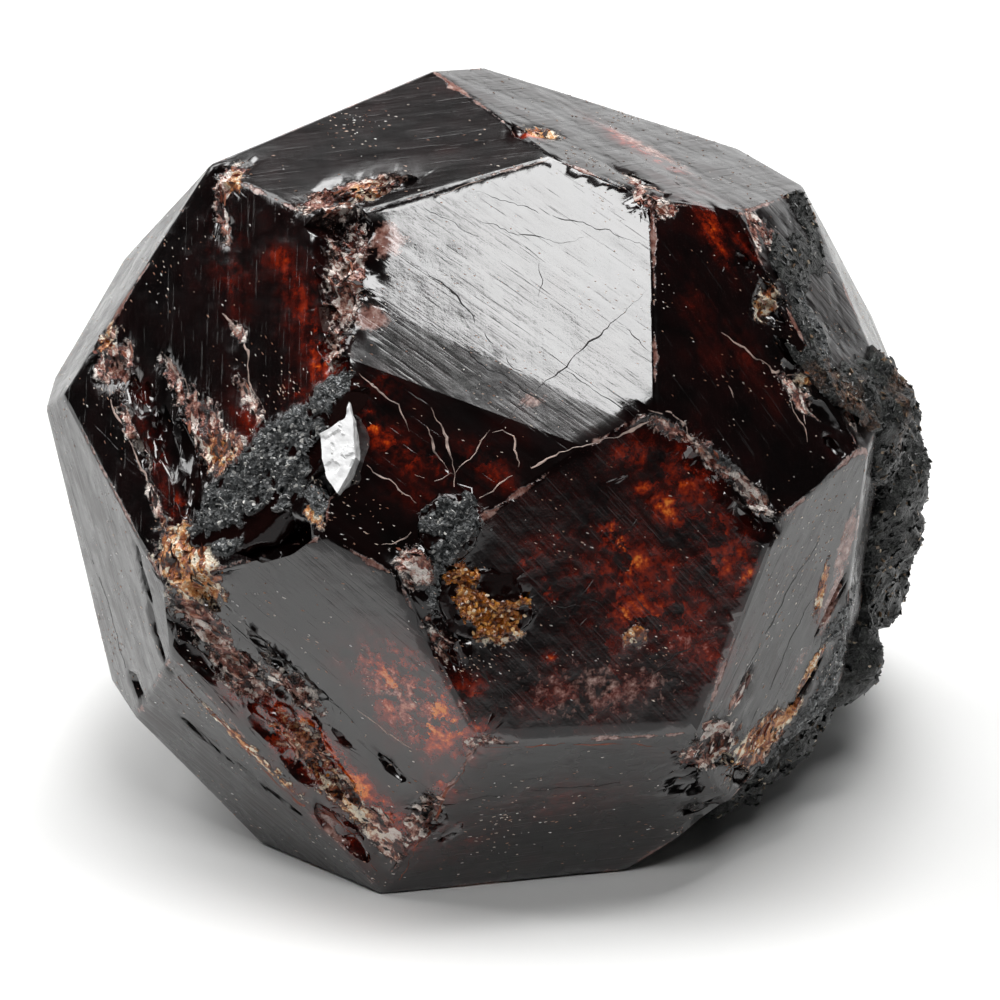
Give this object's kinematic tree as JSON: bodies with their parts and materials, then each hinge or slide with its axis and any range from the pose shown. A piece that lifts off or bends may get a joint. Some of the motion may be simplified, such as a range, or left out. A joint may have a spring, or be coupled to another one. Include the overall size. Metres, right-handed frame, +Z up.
{
  "type": "garnet crystal",
  "caption": "Loose almandine garnet crystal, a malformed trapezohedron, with black-green mica schist on its right side and small mica, white flake and rust patches set in its faces.",
  "frame": {"origin": "on the face the crystal rests on, straight below the crystal's centre", "axes": "+Z up, the viewer's side towards -Y, the schist on the +X side"},
  "size_m": [0.0445, 0.0436, 0.0377],
  "materials": {
    "garnet_crystal": "natural crystal faces, glossy, finely striated",
    "schist_matrix": "rough broken schist",
    "mica_schist_patch": "granular mica, glittering",
    "white_mica_flake": "cleaved flake, pitted",
    "small_mica_patch": "granular mica, glittering",
    "iron_oxide_crust": "crumbly rust crust"
  },
  "bodies": {
    "root": {"garnet_crystal": "garnet_crystal", "schist_matrix": "schist_matrix", "mica_schist_patch": "mica_schist_patch", "white_mica_flake": "white_mica_flake", "small_mica_patch": "small_mica_patch", "iron_oxide_crust": "iron_oxide_crust"}
  },
  "joints": []
}
